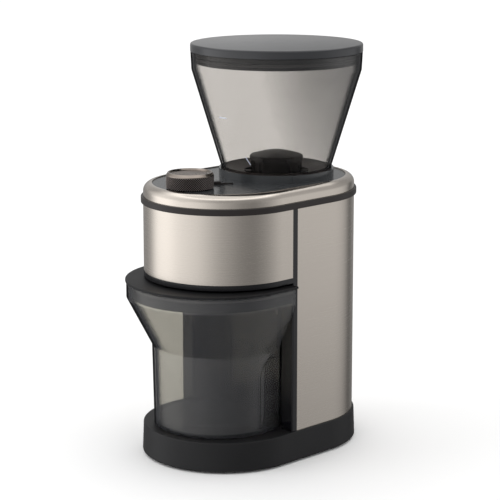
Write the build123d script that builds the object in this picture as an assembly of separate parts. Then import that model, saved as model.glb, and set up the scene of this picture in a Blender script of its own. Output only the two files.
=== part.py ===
"""Electric burr coffee grinder, built as separate pieces on one frame.

Millimetres, +Z up, front towards -Y.  The origin is on the table, under the middle
of the whole object.  The body is a long rounded column that stands on a base.  Its
head overhangs a removable grounds container, and a bean hopper stands on its rear half.
"""
from build123d import *
from math import acos, atan2, cos, degrees, pi, radians, sin, sqrt, tan
import os

os.makedirs("parts", exist_ok=True)

# ---------------------------------------------------------------- driving dimensions
DEPTH = 203.4              # whole object, container lid to hopper lid
FOOT_H = 1.5               # feet below the base
BODY_R = 62.0              # rounded ends of the body plan
BODY_HALF = 28.0           # body middle to the centre of either rounded end
BODY_Y = 5.5               # body middle
SHEET = 0.6                # stainless sheet
SKIN = 2.5                 # moulded walls

BASE_BOTTOM_R = 64.3
BASE_TOP_R = 63.4
BASE_TOP = 24.3
HEAD_Z = 141.5             # underside of the head
PANEL_Z = 145.5            # lower edge of the front panel
BAND_Z = 198.3             # dark band between the panels and the bezel
BEZEL_Z = 203.1
BEZEL_TOP = 213.2
BEZEL_ROUND = 6.3
PLATE_R = 55.0             # glossy top plate
PLATE_Z = 209.7
PLATE_TOP = 212.5
BAND_R = 63.8

HOPPER_LID_R = 67.2
HOPPER_FOOT_R = 43.0
HOPPER_TOP_R = 67.0
HOPPER_FOOT_Z = 218.5
HOPPER_BEND_Z = 295.4
HOPPER_RIM_Z = 309.4
HOPPER_WALL = 2.0
LID_TOP_Z = 318.7
BURR_Y = DEPTH / 2 - HOPPER_LID_R      # upright axis of hopper and burrs

CUP_LID_R = 68.3
CUP_BAND_R = 67.5
CUP_R = 51.6               # round lower part of the container, at its top
CUP_FOOT_R = 50.3
CUP_WALL = 2.2
CUP_FRONT_Y = -DEPTH / 2 + CUP_LID_R   # centre of the wide front of the container
CUP_Y = BODY_Y - 34.3      # axis of the round lower part
CUP_BACK_Y = BODY_Y + 6.5  # flat back
CUP_WAIST_Z = 88.0         # where the taper meets the round part
CUP_BAND_Z = 126.2
CUP_RIM_Z = 138.4
CUP_LID_TOP = 140.0

CHEEK_Y = BODY_Y - 15.6    # front faces of the column, beside the bay
WRAP_Y = BODY_Y - 10.6     # front edges of the rear wrap
GRIP_TURN = 11.0           # finger grips, towards the back from straight out at each side
GRIP_HALF = 14.0
GRIP_DEPTH = 3.2
GRIP_FOOT_Z = 28.0
GRIP_TOP_Z = 83.5

BAY_X = 50.0               # half width of the bay in the column
BAY_BACK_Y = BODY_Y + 8.0
GAP = 0.4                  # clearance round parts that slide or lift off

DIAL_Y = BODY_Y - 63.4
DIAL_R = 18.2
DIAL_Z = 213.0
DIAL_TOP = 225.0
BUTTON_R = 12.7

MODULE = 0.8               # gear tooth size
MOTOR_TEETH = 15
WHEEL_TEETH = 50
PINION_TEETH = 16
OUTPUT_TEETH = 54
MOTOR_OFFSET = 16.0        # motor axis behind the burr axis
MOTOR_R = 29.0
MOTOR_Z = 66.0
GEARBOX_Z = 143.5
COVER_Z = 162.5
CHAMBER_Z = 165.5
CHAMBER_R = 34.0
CHAMBER_IN_R = 31.6
BURR_GAP = 1.0
SHAFT_R = 4.0
RUNNING = 0.03             # radial play of a shaft in its bush

MOTOR_Y = BURR_Y + MOTOR_OFFSET
STAGE_1 = MODULE * (MOTOR_TEETH + WHEEL_TEETH) / 2     # motor to idler centres
STAGE_2 = MODULE * (PINION_TEETH + OUTPUT_TEETH) / 2   # idler to output centres
IDLER_Y = (BURR_Y + MOTOR_Y) / 2 + (STAGE_2**2 - STAGE_1**2) / (2 * MOTOR_OFFSET)
IDLER_X = sqrt(STAGE_2**2 - (IDLER_Y - BURR_Y) ** 2)
UP = (Align.CENTER, Align.CENTER, Align.MIN)


# ---------------------------------------------------------------- small helpers
def disc(r, z0, z1, x=0.0, y=0.0):
    """Upright round bar from z0 to z1."""
    return Pos(x, y, z0) * Cylinder(r, z1 - z0, align=UP)


def tube(r_out, r_in, z0, z1, x=0.0, y=0.0):
    """Upright ring from z0 to z1."""
    return disc(r_out, z0, z1, x, y) - disc(r_in, z0 - 1, z1 + 1, x, y)


def bar_y(r, y0, y1, x, z):
    """Round bar lying along Y."""
    return Pos(x, y1, z) * Rot(90, 0, 0) * Cylinder(r, y1 - y0, align=UP)


def block(x0, x1, y0, y1, z0, z1):
    """Box between two corners."""
    return Pos((x0 + x1) / 2, (y0 + y1) / 2, (z0 + z1) / 2) * Box(x1 - x0, y1 - y0, z1 - z0)


def body_prism(r, z0, z1):
    """Upright prism of the rounded body plan, r being the radius of its ends."""
    plan = SlotCenterToCenter(2 * BODY_HALF, 2 * r, rotation=90)
    return extrude(Pos(0, BODY_Y, z0) * plan, amount=z1 - z0)


def body_ring(r_out, r_in, z0, z1):
    """Ring that follows the body plan."""
    return body_prism(r_out, z0, z1) - body_prism(r_in, z0 - 1, z1 + 1)


def turned(points, x=0.0, y=0.0):
    """Solid turned about an upright axis, from (radius, height) corners."""
    outline = Plane.XZ * make_face(Polyline(*points, close=True))
    return Pos(x, y, 0) * revolve(outline, Axis.Z)


def side_profile(points, x0, x1):
    """Prism along X from (y, z) corners."""
    outline = Plane.YZ * make_face(Polyline(*points, close=True))
    return Pos(x0, 0, 0) * extrude(outline, amount=x1 - x0)


def around(n, x, y, start=0.0):
    """Places turned about an upright axis, n of them."""
    return [Pos(x, y, 0) * Rot(0, 0, start + 360 * k / n) for k in range(n)]


FRONT = block(-90, 90, -120, CHEEK_Y, -10, 330)
REAR = block(-90, 90, WRAP_Y, 120, -10, 330)
STRIP = block(-90, 90, CHEEK_Y, WRAP_Y, -10, 330)


# ---------------------------------------------------------------- base
BASE_CAVITY_R = 60.9
BASE_CAVITY_TOP = 21.8
PLATE_BOTTOM = 2.0
PLATE_THICK = 2.0
FOOT_R = 8.0
FOOT_AT = [(sx * 40, BODY_Y + sy * 57.5) for sx in (-1, 1) for sy in (-1, 1)]
SCREW_AT = [(sx * 56.3, y) for sx in (-1, 1) for y in (20.0, 44.0)]
BOARD_POST_AT = [(sx * 22, y) for sx in (-1, 1) for y in (30.0, 68.0)]
CORD_Z = 13.0
CORD_HOLE_R = 6.0
POWER_BOARD_Z = 34.0


def base_shell():
    """Moulded foot of the machine, hollow from below."""
    plan = Pos(0, BODY_Y, FOOT_H) * SlotCenterToCenter(2 * BODY_HALF, 2 * BASE_BOTTOM_R, rotation=90)
    height = BASE_TOP - FOOT_H
    lean = degrees(atan2(BASE_BOTTOM_R - BASE_TOP_R, height))
    shell = extrude(plan, amount=height, taper=lean)
    shell = fillet(shell.faces().sort_by(Axis.Z)[0].outer_wire().edges(), 1.2)
    shell = fillet(shell.faces().sort_by(Axis.Z)[-1].outer_wire().edges(), 0.8)
    shell -= body_prism(BASE_CAVITY_R, 0, BASE_CAVITY_TOP)
    for x, y in SCREW_AT:
        shell += disc(4.0, PLATE_BOTTOM + PLATE_THICK, BASE_TOP - 1, x, y)
        shell -= disc(1.8, 0, BASE_TOP + 1, x, y)
    for x, y in BOARD_POST_AT:
        shell += disc(3.0, BASE_TOP - 1, POWER_BOARD_Z, x, y)
    shell -= bar_y(CORD_HOLE_R, 90, 105, 0, CORD_Z)
    return shell


def base_plate():
    """Plate that closes the base, with vents."""
    plate = body_prism(BASE_CAVITY_R - 0.2, PLATE_BOTTOM, PLATE_BOTTOM + PLATE_THICK)
    for k in range(7):
        y = BODY_Y - 30 + 10 * k
        plate -= block(-18, 18, y - 1.5, y + 1.5, 0, 6)
    for x, y in SCREW_AT:
        plate -= disc(1.8, 0, 6, x, y)
    return plate


def rubber_feet():
    """Four soft pads under the plate."""
    return Compound([disc(FOOT_R, 0, PLATE_BOTTOM, x, y) for x, y in FOOT_AT])


def base_screws():
    """Screws up through the base into the column."""
    return Compound([disc(3.4, 0.6, PLATE_BOTTOM, x, y) + disc(1.8, PLATE_BOTTOM, 34, x, y)
                     for x, y in SCREW_AT])


def cord_bushing():
    """Inlet for the mains lead in the back of the base."""
    bush = bar_y(CORD_HOLE_R, 93.0, 97.8, 0, CORD_Z) + bar_y(7.5, 97.8, 99.8, 0, CORD_Z)
    return bush - bar_y(3.2, 90, 105, 0, CORD_Z)


# ---------------------------------------------------------------- column and head
INNER_R = BODY_R - SHEET - 0.05        # outside of the mouldings, under the sheet
CAVITY_R = INNER_R - SKIN
PLUNGER_X = 24.0
PLUNGER_Z = 108.0
PLUNGER_R = 2.5
MOTOR_OPENING = MOTOR_R + 1.5
SPOUT_X = 12.0
SPOUT_FRONT_Y = -29.0
SPOUT_BACK_Y = -9.5
SEAL_RIM = 2.5             # the seal's frame, beyond the spout all round
SEAL_TOP_Z = HEAD_Z + 1.0  # let into the floor of the head


def rear_shell():
    """Moulded inner wall of the column, behind the strips."""
    wall = body_ring(INNER_R, CAVITY_R, BASE_TOP, HEAD_Z) & REAR
    for x, y in SCREW_AT:
        wall += disc(4.0, BASE_TOP, BASE_TOP + 14, x, y)
        wall -= disc(1.8, 0, 34, x, y)
    return wall


def rear_wrap():
    """Brushed stainless sheet round the back and sides."""
    return body_ring(BODY_R, BODY_R - SHEET, BASE_TOP, BAND_Z) & REAR


def front_panel():
    """Brushed stainless sheet round the front of the head."""
    return body_ring(BODY_R, BODY_R - SHEET, PANEL_Z, BAND_Z) & FRONT


def bay_panel():
    """Black moulding that faces the container: two front faces and a bay between them."""
    wall = 2.0
    face = block(-BODY_R, BODY_R, CHEEK_Y, CHEEK_Y + SKIN, BASE_TOP, HEAD_Z)
    for side in (-1, 1):
        x = side * (BODY_R - 1.25)
        face += block(x - 1.25, x + 1.25, CHEEK_Y, WRAP_Y, BASE_TOP, HEAD_Z)
    depth = BAY_BACK_Y - CHEEK_Y + 30
    outer = RectangleRounded(2 * BAY_X + 2 * wall, depth + 2 * wall, 10 + wall)
    inner = RectangleRounded(2 * BAY_X, depth, 10)
    middle = BAY_BACK_Y - depth / 2
    height = HEAD_Z - BASE_TOP
    pocket = extrude(Pos(0, middle, BASE_TOP) * outer, amount=height)
    pocket &= block(-80, 80, CHEEK_Y, 60, 0, 200)
    hollow = extrude(Pos(0, middle, BASE_TOP - 1) * inner, amount=height + 2)
    panel = face + pocket - hollow
    front_edges = panel.edges().filter_by(Axis.Z).filter_by_position(Axis.Y, CHEEK_Y - 0.01, CHEEK_Y + 0.01)
    panel = fillet(front_edges, 1.0)
    return panel - bar_y(PLUNGER_R + 0.3, 10, 20, PLUNGER_X, PLUNGER_Z)


def head_housing():
    """Moulded head: floor, wall and the black strips and rim that show."""
    shell = body_prism(INNER_R, HEAD_Z, BAND_Z)
    shell += body_prism(BODY_R, HEAD_Z, PANEL_Z) & block(-90, 90, -120, WRAP_Y, 0, 330)
    shell += body_prism(BODY_R, HEAD_Z, BAND_Z) & STRIP
    shell -= body_prism(CAVITY_R, GEARBOX_Z, BAND_Z + 1)
    shell -= disc(MOTOR_OPENING, HEAD_Z - 1, GEARBOX_Z + 1, 0, MOTOR_Y)
    shell -= block(-SPOUT_X, SPOUT_X, SPOUT_FRONT_Y, SPOUT_BACK_Y, HEAD_Z - 1, GEARBOX_Z + 1)
    shell -= block(-SPOUT_X - SEAL_RIM, SPOUT_X + SEAL_RIM, SPOUT_FRONT_Y - SEAL_RIM,
                   SPOUT_BACK_Y + SEAL_RIM, HEAD_Z - 1, SEAL_TOP_Z)
    for x, y in GEARBOX_EARS:
        shell -= disc(1.6, HEAD_Z - 1, GEARBOX_Z + 1, x, y)
    return shell


def top_frame():
    """Black frame on the head; its proud edge is the dark band, its inner wall holds the plate."""
    frame = body_ring(BAND_R, PLATE_R - 2.4, BAND_Z, BEZEL_Z)
    outer = [e for e in frame.edges() if e.bounding_box().max.Y > BODY_Y + BODY_HALF + BAND_R - 0.1
             or e.bounding_box().min.Y < BODY_Y - BODY_HALF - BAND_R + 0.1
             or abs(e.center().X) > BAND_R - 0.1]
    frame = fillet(outer, 0.6)
    return frame + body_ring(PLATE_R - 0.4, PLATE_R - 2.4, BEZEL_Z - 1, PLATE_Z)


def top_bezel():
    """Brushed stainless pressing with a round shoulder."""
    skin = 1.2
    outer = body_prism(BODY_R, BEZEL_Z, BEZEL_TOP)
    outer = fillet(outer.faces().sort_by(Axis.Z)[-1].outer_wire().edges(), BEZEL_ROUND)
    inner = body_prism(BODY_R - skin, BEZEL_Z - 5, BEZEL_TOP - skin)
    inner = fillet(inner.faces().sort_by(Axis.Z)[-1].outer_wire().edges(), BEZEL_ROUND - skin)
    return outer - inner - body_prism(PLATE_R + 0.2, BEZEL_Z - 1, BEZEL_TOP + 1)


BOARD_X, BOARD_BACK_Y, BOARD_FRONT_Y = 24.0, -30.0, -66.0
BOARD_Z = 200.0
BOARD_SCREW_AT = [(sx * 20, y) for sx in (-1, 1) for y in (BOARD_FRONT_Y + 4, BOARD_BACK_Y - 4)]
HOPPER_HOLE_R = 42.4


def top_plate():
    """Glossy black plate with the hopper mouth and the dial's hole."""
    plate = body_prism(PLATE_R, PLATE_Z, PLATE_TOP)
    plate -= disc(HOPPER_HOLE_R, PLATE_Z - 1, PLATE_TOP + 1, 0, BURR_Y)
    plate -= disc(4.2, PLATE_Z - 1, PLATE_TOP + 1, 0, DIAL_Y)
    for x, y in BOARD_SCREW_AT:
        plate += disc(2.8, BOARD_Z + 1.6, PLATE_Z + 1, x, y)
    return plate


def index_pointer():
    """Small raised pointer beside the dial: a pad with a slim tail that comes to a point."""
    half, height, tail_half, tail_length = 2.6, 2.2, 1.3, 12.0
    pad = block(-half, half, -half, half, PLATE_TOP, PLATE_TOP + height)
    pad = fillet(pad.faces().sort_by(Axis.Z)[-1].outer_wire().edges(), 0.6)
    tail = extrude(Pos(0, 0, PLATE_TOP) * make_face(Polyline(
        (-tail_half, half - 0.2), (tail_half, half - 0.2), (0, tail_length), close=True)), amount=0.9)
    return Pos(1.8, BODY_Y - 36.5, 0) * Rot(0, 0, -45) * (pad + tail)


def hopper_collar():
    """Raised ring on the plate that the foot of the hopper drops into."""
    ring = tube(45.1, 43.2, PLATE_TOP, 218.2, 0, BURR_Y)
    ring = chamfer(ring.edges().sort_by(Axis.Z)[-1], 0.5)
    spot = Pos(0, BURR_Y, 0) * Rot(0, 0, -28)
    return ring + spot * block(44.6, 46.0, -1.5, 1.5, PLATE_TOP, 218.0)


# ---------------------------------------------------------------- hopper
def hopper_shell():
    """Clear smoked funnel that holds the beans."""
    bend_out = HOPPER_TOP_R - 0.7
    funnel = turned([
        (HOPPER_FOOT_R - HOPPER_WALL, HOPPER_FOOT_Z), (HOPPER_FOOT_R, HOPPER_FOOT_Z),
        (bend_out, HOPPER_BEND_Z), (HOPPER_TOP_R, HOPPER_RIM_Z),
        (HOPPER_TOP_R - HOPPER_WALL, HOPPER_RIM_Z), (bend_out - HOPPER_WALL - 0.1, HOPPER_BEND_Z)],
        0, BURR_Y)
    bends = [e for e in funnel.edges().filter_by(GeomType.CIRCLE)
             if abs(e.center().Z - HOPPER_BEND_Z) < 0.5]
    return fillet(bends, 5.0)


def hopper_base():
    """Dark floor of the hopper, with a skirt and two lugs that turn the adjuster."""
    floor = turned([
        (42.6, 213.4), (42.6, HOPPER_FOOT_Z), (40.8, HOPPER_FOOT_Z), (40.8, 219.5),
        (25.5, 215.5), (25.5, 213.0), (36.0, 213.4), (36.0, 206.4), (38.0, 206.4), (38.0, 213.4)],
        0, BURR_Y)
    for side in (-1, 1):
        x = side * 38.9
        floor += block(x - 1.5, x + 1.5, BURR_Y - 4, BURR_Y + 4, 206.6, 213.6)
    return floor


def burr_cap():
    """Domed guard over the bean inlet, ribbed, on four legs."""
    foot_z, drum_r, brim_r, ear_r = 213.6, 19.5, 21.0, 25.4
    cap = turned([
        (0, 231.8), (7, 231.2), (13, 229.9), (19.8, 228.0), (brim_r, 227.0), (brim_r, 224.4),
        (drum_r, 223.8), (drum_r, foot_z), (17.6, foot_z), (17.6, 224.6), (7, 228.9), (0, 229.5)],
        0, BURR_Y)
    for place in around(20, 0, BURR_Y):
        cap += place * block(drum_r - 0.4, drum_r + 0.6, -0.8, 0.8, foot_z, 223.5)
    for place in around(4, 0, BURR_Y, 45):
        cap += place * block(drum_r - 0.4, ear_r + 1, -1.5, 1.5, foot_z, foot_z + 1.8)
    return cap & disc(ear_r, 210, 235, 0, BURR_Y)


def hopper_lid():
    """Dark lid, slightly domed, with a plug skirt that fits inside the hopper."""
    low, shoulder = HOPPER_RIM_Z + 0.2, LID_TOP_Z - 3.0
    dome = ThreePointArc((0, LID_TOP_Z), (HOPPER_LID_R / 2, LID_TOP_Z - 0.75), (HOPPER_LID_R, shoulder))
    edge = Polyline((HOPPER_LID_R, shoulder), (HOPPER_LID_R, low), (0, low), (0, LID_TOP_Z))
    cap = Pos(0, BURR_Y, 0) * revolve(Plane.XZ * make_face([dome, edge]), Axis.Z)
    cap = fillet([e for e in cap.edges() if abs(e.center().Z - shoulder) < 0.1], 1.4)
    cap -= disc(HOPPER_LID_R - 2.0, 0, 312.4, 0, BURR_Y)
    return cap + tube(63.2, 61.2, 300.4, 313.0, 0, BURR_Y)


def hopper_lid_seal():
    """Soft ring round the skirt of the hopper lid."""
    return tube(64.2, 63.2, 303.0, 305.0, 0, BURR_Y)


# ---------------------------------------------------------------- grounds container
def cup_front(r, z, back, round_sides=False):
    """Outline of the container in front of the column: a half circle and two sides."""
    middle = CUP_Y if round_sides else CUP_FRONT_Y
    front = ThreePointArc((-r, middle), (0, middle - r), (r, middle))
    if round_sides:
        half_way = (middle + back) / 2
        bulge, half = sqrt(r**2 - (half_way - middle) ** 2), sqrt(r**2 - (back - middle) ** 2)
        right = ThreePointArc((r, middle), (bulge, half_way), (half, back))
        left = ThreePointArc((-half, back), (-bulge, half_way), (-r, middle))
    else:
        half = r
        right, left = Line((r, middle), (r, back)), Line((-r, back), (-r, middle))
    close = Line((half, back), (-half, back))
    return Pos(0, 0, z) * make_face([front, right, close, left])


def cup_form(inset, floor_z, rim_z):
    """Whole form of the container, shrunk by inset: the outside, or the hollow in it."""
    taper_r, band_r = CUP_R - inset, CUP_BAND_R - inset
    back = CHEEK_Y - GAP - inset
    low = turned([(0, floor_z), (CUP_FOOT_R - inset, floor_z), (taper_r, CUP_WAIST_Z),
                  (taper_r, rim_z), (0, rim_z)], 0, CUP_Y)
    wide = cup_front(band_r, CUP_BAND_Z, back)
    taper = loft([cup_front(taper_r, CUP_WAIST_Z, back, round_sides=True), wide], ruled=True)
    form = low + taper + extrude(wide, amount=rim_z - CUP_BAND_Z)
    return form & block(-90, 90, -120, CUP_BACK_Y - inset, 0, 330)


def grip(inset):
    """Arch-shaped finger grips let into both sides of the container."""
    half, crown_z, reach = GRIP_HALF + inset, GRIP_TOP_Z - GRIP_HALF, 20
    arch = block(-half, half, 0, reach, GRIP_FOOT_Z - inset, crown_z) \
        + Pos(0, 0, crown_z) * Rot(-90, 0, 0) * Cylinder(half, reach, align=UP)
    start = CUP_R - reach / 2
    sides = [Pos(0, CUP_Y, 0) * Rot(0, 0, side * (GRIP_TURN - 90)) * Pos(0, start, 0) * arch
             for side in (-1, 1)]
    return sides[0] + sides[1] - disc(CUP_R - GRIP_DEPTH - inset, 0, 150, 0, CUP_Y)


def grounds_container():
    """Clear smoked container that catches the grounds."""
    outer = cup_form(0, BASE_TOP + 0.1, CUP_RIM_Z) - grip(0)
    hollow = cup_form(CUP_WALL, BASE_TOP + 0.1 + 3.0, CUP_RIM_Z + 1) - grip(CUP_WALL)
    return outer - hollow


PORT = (SPOUT_FRONT_Y - 1.0, SPOUT_BACK_Y + 1.0)


def container_lid():
    """Dark lid of the container, with a port for the spout and a plug skirt."""
    outline = cup_front(CUP_LID_R, CUP_RIM_Z + 0.1, CHEEK_Y - GAP)
    plate = extrude(outline, amount=CUP_LID_TOP - CUP_RIM_Z - 0.1)
    rim = [e for e in plate.edges() if e.center().Z > CUP_LID_TOP - 0.01 and e.center().Y < CHEEK_Y - 1]
    plate = fillet(rim, 0.6)
    tongue = disc(CUP_R, CUP_RIM_Z + 0.1, CUP_LID_TOP, 0, CUP_Y) \
        & block(-90, 90, -60, CUP_BACK_Y, 0, 330)
    inset = CUP_WALL + 0.8
    skirt = cup_form(inset, BASE_TOP + 20, CUP_RIM_Z + 0.6) - cup_form(inset + 1.6, BASE_TOP + 10, 150)
    skirt &= block(-90, 90, -120, 60, CUP_BAND_Z + 0.8, 150)
    port = block(-13, 13, PORT[0], PORT[1], 130, 150)
    return plate + tongue + skirt - fillet(port.edges().filter_by(Axis.Z), 4)


def container_lid_seal():
    """Soft gasket round the skirt of the container lid."""
    ring = cup_form(CUP_WALL + 0.3, BASE_TOP + 20, 150) - cup_form(CUP_WALL + 0.8, BASE_TOP + 10, 151)
    return ring & block(-90, 90, -120, 60, 134.5, 136.0)


# ---------------------------------------------------------------- chute
def chute():
    """Duct that takes the grounds from the burrs down to the container."""
    outer = side_profile([(7, 188), (-19, 188), (SPOUT_FRONT_Y, 178), (SPOUT_FRONT_Y, SEAL_TOP_Z),
                          (SPOUT_BACK_Y, SEAL_TOP_Z), (SPOUT_BACK_Y, 164), (-4, 168), (7, 168)],
                         -SPOUT_X, SPOUT_X)
    wall = 2.0
    inner = side_profile([(8, 186), (-18, 186), (SPOUT_FRONT_Y + wall, 177), (SPOUT_FRONT_Y + wall, 130),
                          (SPOUT_BACK_Y - wall, 130), (SPOUT_BACK_Y - wall, 165), (-5, 170), (8, 170)],
                         wall - SPOUT_X, SPOUT_X - wall)
    return outer - inner - disc(CHAMBER_R, 150, 200, 0, BURR_Y)


def chute_seal():
    """Soft frame round the mouth of the spout, let into the floor of the head."""
    half = SPOUT_X + SEAL_RIM
    frame = block(-half, half, SPOUT_FRONT_Y - SEAL_RIM, SPOUT_BACK_Y + SEAL_RIM,
                  HEAD_Z - 0.2, SEAL_TOP_Z)
    return frame - block(-10, 10, SPOUT_FRONT_Y + 2, SPOUT_BACK_Y - 2, 139, 144)


# ---------------------------------------------------------------- burrs
RING_Z = (179.0, 198.0)
RING_IN = (22.0, 13.5)
CONE_SLOPE = (RING_IN[0] - RING_IN[1]) / (RING_Z[1] - RING_Z[0])
OUTLET_X = 9.9


def burr_housing():
    """Grinding chamber: a cup with the outlet in its front wall."""
    cup = turned([(7.5, CHAMBER_Z), (CHAMBER_R, CHAMBER_Z), (CHAMBER_R, 200.0), (42.5, 200.0),
                  (42.5, 203.8), (CHAMBER_IN_R, 203.8), (CHAMBER_IN_R, 169.0), (7.5, 169.0)], 0, BURR_Y)
    cup -= block(-OUTLET_X, OUTLET_X, -2, 8, 169.0, 186.0)
    for place in around(3, 0, BURR_Y, 30):
        cup -= place * block(30, 33.2, -2.4, 2.4, 185.0, 204.5)
    return cup


def ring_burr_carrier():
    """Holder of the ring burr; three keys stop it from turning as it is raised or lowered."""
    ring = turned([(26.0, 180.0), (31.2, 180.0), (31.2, 202.6), (21.0, 202.6), (15.0, RING_Z[1]),
                   (26.0, RING_Z[1])], 0, BURR_Y)
    for place in around(3, 0, BURR_Y, 30):
        ring += place * block(30.5, 32.8, -2.0, 2.0, 187.0, 198.0)
    return ring


def ring_burr():
    """Outer steel burr, toothed inside."""
    ring = turned([(RING_IN[0], RING_Z[0]), (26.0, RING_Z[0]), (26.0, RING_Z[1]), (RING_IN[1], RING_Z[1])],
                  0, BURR_Y)
    lean = degrees(atan2(CONE_SLOPE, 1))
    for place in around(18, 0, BURR_Y):
        groove = Pos((RING_IN[0] + RING_IN[1]) / 2, 0, sum(RING_Z) / 2) * Rot(0, -lean, 0)
        ring -= place * groove * Rot(0, 0, 45) * Box(1.4, 1.4, 30)
    return ring


def cone_burr():
    """Inner steel burr, toothed outside."""
    low = RING_IN[0] - BURR_GAP
    high_z = 201.0
    cone = turned([(SHAFT_R, 176.0), (low, 176.0), (low, RING_Z[0]),
                   (low - CONE_SLOPE * (high_z - RING_Z[0]), high_z), (SHAFT_R, high_z)], 0, BURR_Y)
    lean = degrees(atan2(CONE_SLOPE, 1))
    for place in around(14, 0, BURR_Y):
        groove = Pos(low - CONE_SLOPE * 10, 0, RING_Z[0] + 10) * Rot(0, -lean, 0)
        cone -= place * groove * Rot(0, 0, 45) * Box(1.8, 1.8, 40)
    return cone


def grounds_sweeper():
    """Disc with paddles that pushes the grounds round to the outlet."""
    disc_part = turned([(SHAFT_R, 169.4), (8.0, 169.4), (8.0, 169.8), (30.8, 169.8), (30.8, 171.4),
                        (8.0, 171.4), (8.0, 176.0), (SHAFT_R, 176.0)], 0, BURR_Y)
    for place in around(6, 0, BURR_Y):
        disc_part += place * block(21.0, 30.6, -1.0, 1.0, 171.0, 175.6)
    return disc_part


def burr_shaft():
    """Steel shaft through the gearbox and both burrs."""
    return disc(SHAFT_R, 143.9, 206.5, 0, BURR_Y)


def burr_nut():
    """Nut that holds the cone burr."""
    nut = extrude(Pos(0, BURR_Y, 201.0) * RegularPolygon(6.5, 6), amount=4.5)
    return nut - disc(SHAFT_R, 200, 207, 0, BURR_Y)


def adjuster_ring():
    """Ring under the hopper that sets the burr gap as the hopper is turned."""
    ring = turned([(27.5, 204.2), (42.0, 204.2), (42.0, 208.9), (38.5, 208.9), (38.5, 206.0),
                   (27.5, 206.0)], 0, BURR_Y)
    for side in (-1, 1):
        x = side * 39.5
        ring -= block(x - 1.6, x + 1.6, BURR_Y - 4.4, BURR_Y + 4.4, 206.0, 210)
    return ring


# ---------------------------------------------------------------- gearbox
EAR_R = 4.5
GEARBOX_EARS = [
    (36 * cos(radians(165)), BURR_Y + 36 * sin(radians(165))),
    (36 * cos(radians(205)), BURR_Y + 36 * sin(radians(205))),
    (IDLER_X + 28 * cos(radians(-30)), IDLER_Y + 28 * sin(radians(-30)))]


def tooth_outline(teeth, turn):
    """Corners of a spur gear with involute flanks; turn is where the first tooth points."""
    pitch_r = MODULE * teeth / 2
    base_r = pitch_r * cos(radians(20))
    tip_r, root_r = pitch_r + 0.9 * MODULE, pitch_r - 1.25 * MODULE
    play = 0.05 / pitch_r
    involute = tan(radians(20)) - radians(20)

    def half_angle(r):
        lean = acos(min(1.0, base_r / max(r, base_r)))
        return pi / (2 * teeth) - play + involute - (tan(lean) - lean)

    radii = [root_r, max(base_r, root_r + 0.05), (base_r + pitch_r) / 2 + 0.05, pitch_r, tip_r]
    points = []
    for k in range(teeth):
        middle = turn + 2 * pi * k / teeth
        rising = [(r, middle - half_angle(r)) for r in radii]
        falling = [(r, middle + half_angle(r)) for r in reversed(radii)]
        points += [(r * cos(a), r * sin(a)) for r, a in rising + falling]
    return points


def gear(teeth, turn, z0, z1, x, y):
    """Spur gear blank without a bore."""
    face = make_face(Polyline(*tooth_outline(teeth, turn), close=True))
    return extrude(Pos(x, y, z0) * face, amount=z1 - z0)


MOTOR_TO_IDLER = atan2(IDLER_Y - MOTOR_Y, IDLER_X)
IDLER_TO_OUTPUT = atan2(BURR_Y - IDLER_Y, -IDLER_X)


def motor_pinion():
    """Small gear on the motor shaft."""
    blank = gear(MOTOR_TEETH, MOTOR_TO_IDLER, 147.5, 153.5, 0, MOTOR_Y)
    return blank - disc(2.5, 147, 154, 0, MOTOR_Y)


def idler_gear():
    """Wheel and pinion moulded together, on a fixed pin."""
    wheel = gear(WHEEL_TEETH, MOTOR_TO_IDLER + pi + pi / WHEEL_TEETH, 148.0, 153.0, IDLER_X, IDLER_Y)
    pinion = gear(PINION_TEETH, IDLER_TO_OUTPUT, 153.0, 162.0, IDLER_X, IDLER_Y)
    return wheel + pinion - disc(2.05, 147, 163, IDLER_X, IDLER_Y)


def output_gear():
    """Large gear on the burr shaft."""
    blank = gear(OUTPUT_TEETH, IDLER_TO_OUTPUT + pi + pi / OUTPUT_TEETH, 155.0, 161.0, 0, BURR_Y)
    return blank - disc(SHAFT_R, 154, 162, 0, BURR_Y)


def idler_pin():
    """Steel pin of the idler gear."""
    return disc(2.0, GEARBOX_Z, CHAMBER_Z, IDLER_X, IDLER_Y)


def gear_case(r_out, r_idler, z0, z1):
    """Upright prism round the output gear and the idler gear."""
    rims = Circle(r_out).edges()[0].moved(Pos(0, BURR_Y, z0)), \
        Circle(r_idler).edges()[0].moved(Pos(IDLER_X, IDLER_Y, z0))
    return extrude(make_hull(list(rims)), amount=z1 - z0)


def gearbox_housing():
    """Tray that holds the gears, with ears for its screws."""
    tray = gear_case(27.5, 25.5, GEARBOX_Z, COVER_Z) - gear_case(25.0, 23.0, GEARBOX_Z + 3, COVER_Z + 1)
    for x, y in GEARBOX_EARS:
        toward = atan2(BURR_Y + 8 - y, -x) if x < 0 else atan2(IDLER_Y - y, IDLER_X - x)
        arm = Pos(x, y, 0) * Rot(0, 0, degrees(toward)) * block(0, 12, -3, 3, GEARBOX_Z, 152)
        tray += disc(EAR_R, GEARBOX_Z, 152, x, y) + (arm - gear_case(26, 24, 140, 170))
        tray -= disc(1.6, 140, 150, x, y)
    tray -= disc(6.5, 140, 150, 0, BURR_Y) + disc(7.5, 140, 150, 0, MOTOR_Y)
    return tray - disc(2.0, 140, 150, IDLER_X, IDLER_Y)


def gearbox_cover():
    """Lid of the gearbox, under the grinding chamber."""
    cover = gear_case(27.5, 25.5, COVER_Z, CHAMBER_Z)
    return cover - disc(7.5, 160, 170, 0, BURR_Y) - disc(2.0, 160, 170, IDLER_X, IDLER_Y)


def gearbox_screws():
    """Screws from below through the floor of the head."""
    return Compound([disc(3.0, 139.8, HEAD_Z, x, y) + disc(1.6, HEAD_Z, 150, x, y)
                     for x, y in GEARBOX_EARS])


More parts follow.
